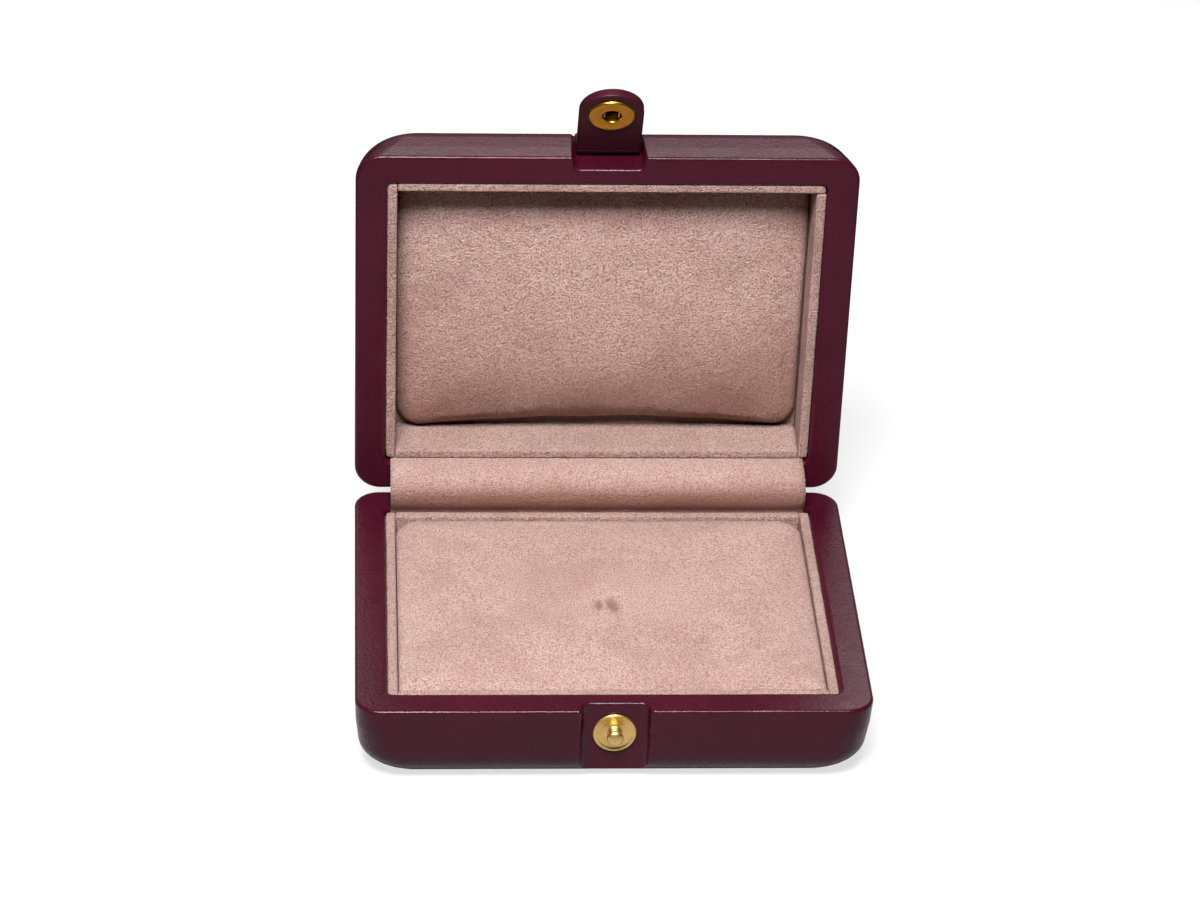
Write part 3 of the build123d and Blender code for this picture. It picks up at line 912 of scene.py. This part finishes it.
class CASE_OT_gusset(Operator):
    """The suede strip inside the hinge, which rolls up as the case shuts"""

    bl_idname = "case.gusset"
    bl_label = "Hinge gusset"

    def execute(self, context):
        middle = HALF_DEPTH - GLUE - GUSSET_THICKNESS / 2
        low = Vector((0, middle, BASE_HEIGHT))
        high = OPENED @ Vector((0, middle, BASE_HEIGHT + CLOSED_GAP))
        high_tuck = OPENED @ Vector((0, middle, BASE_HEIGHT + CLOSED_GAP + GUSSET_TUCK))
        line = []
        for step in range(TUCK_STEPS):
            line.append((low.y, low.z - GUSSET_TUCK + GUSSET_TUCK * step / TUCK_STEPS))
        line += self.roll(low, high)
        for step in range(1, TUCK_STEPS + 1):
            along = high.lerp(high_tuck, step / TUCK_STEPS)
            line.append((along.y, along.z))
        loops = []
        for column in range(GUSSET_COLUMNS + 1):
            x = -GUSSET_WIDTH / 2 + GUSSET_WIDTH * column / GUSSET_COLUMNS
            loops.append(self.section(x, line))
        points, faces = bridge(loops)
        gusset = add_piece("hinge_gusset", points, faces)
        wear_noise(gusset, 0.03, 2.2, 12)
        # Painted shade on the lower part of the roll
        paint_shade_marks(gusset, self.belly_shade)
        dress(gusset, case_suede("Gusset suede"))
        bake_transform(gusset)
        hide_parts("hinge_gusset_suede")
        return {"FINISHED"}

    def belly_shade(self, point):
        """Painted shade under the roll's belly, darker towards the base."""
        shade_from, shade_over = HINGE.z + 8.7, 3.8
        low = clamp((shade_from - point.z) / shade_over)
        uneven = 0.2 * smooth_noise(point, 12, 22)
        return clamp(0.9 * low + uneven * low, 0.0, 0.95)

    def roll(self, low, high):
        """The roll between the halves: it leans out over the base, then curves back to the lid."""
        handles = [
            (low.y, low.z),
            (low.y - 3.9, low.z + 5.0),
            (low.y - 1.8, high.z + 0.7),
            (high.y, high.z),
        ]
        return [curve_point(handles, step / ROLL_STEPS) for step in range(ROLL_STEPS + 1)]

    def section(self, x, line):
        """One cross-section of the strip: its middle line thickened, and gently uneven."""
        near, far = [], []
        last = len(line) - 1
        edge = clamp((GUSSET_WIDTH / 2 - abs(x)) / 0.6)
        thickness = (GUSSET_THICKNESS / 2 - 0.02) * (0.45 + 0.55 * math.sqrt(edge))
        for step, (y, z) in enumerate(line):
            along = line_direction(line, step)
            free = clamp((step - TUCK_STEPS) / (last - 2 * TUCK_STEPS))
            ripple = 0.22 * math.sin(math.pi * free) * smooth_noise((x, step * 0.5, 0), 14, 4)
            for side, loop in ((1, near), (-1, far)):
                lift = side * thickness + ripple
                loop.append((x, y - along.y * lift, z + along.x * lift))
        return near + far[::-1]


class CASE_OT_spine(Operator):
    """The leather strip across the back, which bends at the hinge"""

    bl_idname = "case.spine"
    bl_label = "Leather spine"

    def execute(self, context):
        corner = 0.8
        half = SPINE_THICKNESS / 2
        leg_steps, bend_steps, columns = 9, 8, 68
        base_leg = []
        lid_leg = []
        for step in range(leg_steps):
            depth = min(SPINE_REACH * (1 - step / leg_steps) + corner, SPINE_REACH)
            base_leg.append(self.wall_point("base", depth, half))
            lid_leg.append(self.wall_point("lid", depth, half))
        handles = [base_leg[-1], (HINGE.y + 0.1, HINGE.z - 0.02), lid_leg[-1]]
        bend = [curve_point(handles, step / bend_steps) for step in range(1, bend_steps)]
        line = base_leg + bend + lid_leg[::-1]
        loops = []
        for x in np.linspace(-SPINE_WIDTH / 2, SPINE_WIDTH / 2, columns + 1):
            loops.append(self.section(float(x), line, half))
        points, faces = bridge(loops)
        spine = add_piece("hinge_spine", points, faces)
        dress(spine, case_leather())
        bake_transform(spine)
        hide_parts("hinge_spine_leather")
        return {"FINISHED"}

    def wall_point(self, half, depth, out):
        """A point just outside the rear wall of a half, at a depth below its rim."""
        facts = HALVES[half]
        wall = facts["height"] - FACE_ROUND
        y = CASE_DEPTH / 2 - facts["camber"] * (depth / wall) ** 2 + out
        point = PLACES[half] @ Vector((0, y, -depth))
        return point.y, point.z

    def section(self, x, line, half):
        """One cross-section of the strip, pared thin at its glued edges and ends."""
        near, far = [], []
        last = len(line) - 1
        end = min(1.0, (SPINE_WIDTH / 2 - abs(x)) / 1.2)
        for step, (y, z) in enumerate(line):
            along = line_direction(line, step)
            edge = min(1.0, (min(step, last - step) + 0.25) / 1.6)
            outer = half * (2 * min(edge, 0.3 + 0.7 * math.sqrt(end)) - 1)
            near.append((x, y + along.y * outer, z - along.x * outer))
            far.append((x, y - along.y * half, z + along.x * half))
        return near + far[::-1]


class CASE_OT_tab(Operator):
    """The leather closing tab and the bend that it swings on"""

    bl_idname = "case.tab"
    bl_label = "Closing tab"

    def execute(self, context):
        gloss = 0.42
        # Painted shade: the tab's leather is the cover leather made a tenth darker
        darker = scaled(colours().leather, 0.9)
        leather = make_leather("Tab leather", darker, sizes().grain_size, gloss)
        dress_nodes(["tab_outer_leather", "tab_lining_leather", "tab_strap_tail"], leather)
        level = GLUE + TAB_THICKNESS / 2
        rise = TAB_ROOT_HEIGHT - level
        swing = math.radians(TAB_SWING)
        depth = TAB_ROOT_DEPTH + rise / math.tan(swing) + FOLD_RADIUS * math.tan(swing / 2)
        out_by = level + FOLD_RADIUS
        centre = Vector((0, RECESS_FLOOR - out_by, BASE_HEIGHT + CLOSED_GAP + depth))
        loops = []
        for step in range(FOLD_STEPS + 1):
            angle = swing * step / FOLD_STEPS
            out = Vector((0, math.cos(angle), -math.sin(angle)))
            loop = []
            for x, y in self.outline():
                loop.append(centre + out * (FOLD_RADIUS + y) + Vector((x, 0, 0)))
            loops.append(loop)
        points, faces = bridge(loops)
        fold = add_piece("tab_strap_bend", points, faces, OPENED)
        dress(fold, leather)
        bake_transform(fold)
        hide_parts("tab_strap_fold")
        return {"FINISHED"}

    def outline(self):
        """The strap's cross-section: two leathers with rounded, painted edges."""
        half_width, half, edge = TAB_WIDTH / 2, TAB_THICKNESS / 2, 0.42
        points = []
        for x, y, start in ((1, 1, 0), (-1, 1, 90), (-1, -1, 180), (1, -1, 270)):
            corner = (x * (half_width - edge), y * (half - edge))
            points += arc(corner, edge, start, start + 90, 5)
        return points


class CASE_OT_press_stud(Operator):
    """The brass stud on the base and its spring socket in the tab"""

    bl_idname = "case.press_stud"
    bl_label = "Press stud"

    def execute(self, context):
        brass = make_brass("Polished brass", colours().brass, 0.32)
        # Painted shade: the socket's brass is the stud's brass made darker and more orange
        red, green, blue = colours().brass
        shaded_brass = make_brass("Socket brass", (red * 0.714, green * 0.6216, blue * 0.21), 0.26)
        steel = make_plain("Spring steel", (0.5, 0.46, 0.42), 0.0005, (1, 1, 0.1), 0.35, 1.0)
        dress_nodes(["stud_rivet"], brass)
        dress_nodes(["socket_spring"], steel)
        for name, profile, place, body, node, metal in (
            ("press_stud", self.stud_profile(), ON_STUD, "base", "stud", brass),
            ("press_stud_socket", self.ring_profile(), ON_TAB, "tab", "socket_ring", shaded_brass),
            ("press_stud_cap", self.cap_profile(), ON_TAB, "tab", "socket_cap", shaded_brass),
        ):
            piece = lathe(name, profile, place)
            dress(piece, metal)
            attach(piece, body)
            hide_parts(node)
        return {"FINISHED"}

    def stud_profile(self):
        """A rounded rim, a bowl and a post with a round head."""
        rim = arc((4.72, 0.36), 0.42, -15, 100, 12)
        bowl = [(4.26, 0.66), (4.16, 0.54), (3.95, 0.52), (3.4, 0.42), (2.8, 0.3)]
        bowl += [(2.3, 0.27), (1.85, 0.36), (1.6, 0.6), (1.5, 0.95)]
        bead = arc((1.0, 1.05), 0.5, -10, 60, 7)
        head = [(1.95 * x, 2.55 + 1.1 * y) for x, y in arc((0, 0), 1, -34, 80, 20)]
        end = [(0.26, 3.64), (0.2, 3.56), (0, 3.52)]
        return [(0, 0), (4.9, 0), (5.1, 0.1)] + rim + bowl + bead + head + end

    def ring_profile(self):
        """A flat ring with a rolled outer edge, and the barrel through the leather."""
        low = -TAB_THICKNESS / 2
        outer = [(5.5, low), (5.55, low - 0.1)] + arc((4.95, low - 0.08), 0.6, 0, -78, 9)
        face = [(4.5, low - 0.62), (3.8, low - 0.56), (3.2, low - 0.52), (2.85, low - 0.52)]
        mouth = arc((2.6, low - 0.25), 0.33, -90, -180, 6)
        barrel = [(2.26, low + 0.2), (2.26, 1.0), (2.58, 1.0), (2.6, low)]
        return outer + face + mouth + barrel

    def cap_profile(self):
        """A low dome with a rolled edge."""
        low = TAB_THICKNESS / 2
        dome = []
        for angle in np.linspace(1.4, 0.06, 16):
            dome.append((5.5 * math.sin(angle), low + 0.2 + 0.8 * math.cos(angle)))
        return [(0, low), (5.4, low), (5.54, low + 0.12)] + dome + [(0, low + 1.0)]


class CASE_OT_stage(Operator):
    """Floor, light and camera"""

    bl_idname = "case.stage"
    bl_label = "Stage"

    def execute(self, context):
        self.add_floor()
        self.add_light()
        self.add_camera()
        context.scene.view_settings.view_transform = "Standard"
        return {"FINISHED"}

    def show_white(self, tree, surface, keep):
        """Shows white to the camera, keeping a share of the surface's own light and shadow."""
        seen = add_node(tree, "LightPath").outputs["Is Camera Ray"]
        white = add_node(tree, "Emission", {"Color": (1, 1, 1, 1), "Strength": 1.0})
        share = calculate(tree, "MULTIPLY", seen, 1 - keep)
        mixed = add_node(tree, "MixShader", {0: share, 1: surface, 2: white.outputs[0]})
        return mixed.outputs[0]

    def add_floor(self):
        """A floor just under the case, lighter to the camera than to the pieces round it."""
        reach, level, kept_shade = 4000.0, -0.05, 0.3
        corners = [(-reach, -reach), (reach, -reach), (reach, reach), (-reach, reach)]
        points = [(x, y, level) for x, y in corners]
        floor = add_piece("floor", points, [(0, 1, 2, 3)])
        material, tree, skin = start_material("Pale floor")
        path = add_node(tree, "LightPath")
        # Painted pool of light: in reflections the floor is bright near the case and dims to a tenth of
        # that farther off
        away = add_node(tree, "VectorMath", {0: object_place(tree)}, operation="LENGTH")
        beyond_painted_pool = spread(tree, away.outputs["Value"], 0.08, 0.3)
        mirrored = blend_colours(tree, beyond_painted_pool, colours().sheen, scaled(colours().sheen, 0.1))
        own = blend_colours(tree, path.outputs["Is Glossy Ray"], colours().table, mirrored)
        own = blend_colours(tree, path.outputs["Is Camera Ray"], own, colours().floor)
        tree.links.new(own, skin.inputs["Base Color"])
        skin.inputs["Roughness"].default_value = 0.9
        skin.inputs["Specular IOR Level"].default_value = 0.0
        shown = self.show_white(tree, skin.outputs["BSDF"], kept_shade)
        tree.links.new(shown, tree.nodes["Material Output"].inputs["Surface"])
        dress(floor, material)

    def add_light(self):
        """A white room that hardly lights the case, a backdrop in its gloss, and two softboxes."""
        world = bpy.context.scene.world or bpy.data.worlds.new("Studio")
        bpy.context.scene.world = world
        world.use_nodes = True
        tree = world.node_tree
        tree.nodes.clear()
        output = tree.nodes.new("ShaderNodeOutputWorld")
        path = add_node(tree, "LightPath")
        way = add_node(tree, "SeparateXYZ", {0: add_node(tree, "TexCoord").outputs["Generated"]})
        behind = spread(tree, way.outputs["Y"], 0.0, 0.35)
        below_top = spread(tree, way.outputs["Z"], 0.62, 0.75, 1.0, 0.1)
        brightest, dimmest = 0.22, 0.06
        backdrop = calculate(tree, "MULTIPLY", behind, below_top)
        backdrop = calculate(tree, "MULTIPLY", backdrop, brightest)
        backdrop = calculate(tree, "MAXIMUM", backdrop, dimmest)
        mirrored = calculate(tree, "MULTIPLY", backdrop, path.outputs["Is Glossy Ray"])
        glow = calculate(tree, "MAXIMUM", mirrored, path.outputs["Is Camera Ray"])
        glow = calculate(tree, "MAXIMUM", glow, path.outputs["Is Transmission Ray"])
        glow = calculate(tree, "MAXIMUM", glow, ROOM_GLOW)
        warm, white = (1.0, 0.74, 0.68), (1.0, 1.0, 1.0)
        tint = blend_colours(tree, spread(tree, glow, ROOM_GLOW, 0.1), warm, white)
        room = add_node(tree, "Background", {"Color": tint, "Strength": glow})
        tree.links.new(room.outputs[0], output.inputs["Surface"])
        for name, place, aim, extent, power in (
            ("Front softbox", (-0.09, -0.45, 0.79), (0, 0.02, 0.05), (0.34, 0.28), 18.0),
            ("Rear softbox", (0.0, 0.5, 0.46), (0, 0.06, 0.12), (0.5, 0.16), 0.95),
        ):
            data = bpy.data.lights.new(name, "AREA")
            data.shape = "RECTANGLE"
            data.size, data.size_y = extent
            data.energy = power
            lamp = bpy.data.objects.new(name, data)
            lamp.location = place
            lamp.rotation_euler = (Vector(aim) - Vector(place)).to_track_quat("-Z", "Y").to_euler()
            bpy.context.scene.collection.objects.link(lamp)

    def add_camera(self):
        """The camera that was fitted to the photograph."""
        data = bpy.data.cameras.new("Camera")
        data.sensor_width = 36.0
        data.lens = 123.4
        data.clip_start = 0.05
        data.clip_end = 20.0
        camera = bpy.data.objects.new("Camera", data)
        right = Vector((0.99814194, -0.05087094, 0.03353822))
        up = Vector((-0.00158331, 0.52858374, 0.84887969))
        back = -Vector((0.06091106, 0.84735552, -0.52752105))
        turn = Matrix((right, up, back)).transposed().to_4x4()
        place = Vector((-61.418, -815.361, 570.221)) * MM
        camera.matrix_world = Matrix.Translation(place) @ turn
        bpy.context.scene.collection.objects.link(camera)
        bpy.context.scene.camera = camera


OPERATORS = (
    CASE_OT_stage,
    CASE_OT_covers,
    CASE_OT_hidden_pieces,
    CASE_OT_linings,
    CASE_OT_pads,
    CASE_OT_gusset,
    CASE_OT_spine,
    CASE_OT_tab,
    CASE_OT_press_stud,
)


class CASE_PT_panel(Panel):
    """Colours, sizes and pieces of the case"""

    bl_idname = "CASE_PT_panel"
    bl_label = "Gemstone storage case"
    bl_space_type = "VIEW_3D"
    bl_region_type = "UI"
    bl_category = "Case"

    def draw(self, context):
        layout = self.layout
        for group in (context.scene.case_colours, context.scene.case_sizes):
            box = layout.box()
            for name in group.__annotations__:
                box.prop(group, name)
        for operator in OPERATORS:
            layout.operator(operator.bl_idname)


CLASSES = (CaseColours, CaseSizes) + OPERATORS + (CASE_PT_panel,)


def register():
    for case_class in CLASSES:
        bpy.utils.register_class(case_class)
    bpy.types.Scene.case_colours = PointerProperty(type=CaseColours)
    bpy.types.Scene.case_sizes = PointerProperty(type=CaseSizes)


def unregister():
    del bpy.types.Scene.case_sizes
    del bpy.types.Scene.case_colours
    for case_class in reversed(CLASSES):
        bpy.utils.unregister_class(case_class)


def main():
    """Makes the whole case."""
    register()
    for operator in OPERATORS:
        getattr(bpy.ops.case, operator.bl_idname.split(".")[1])()


if __name__ == "__main__":
    main()
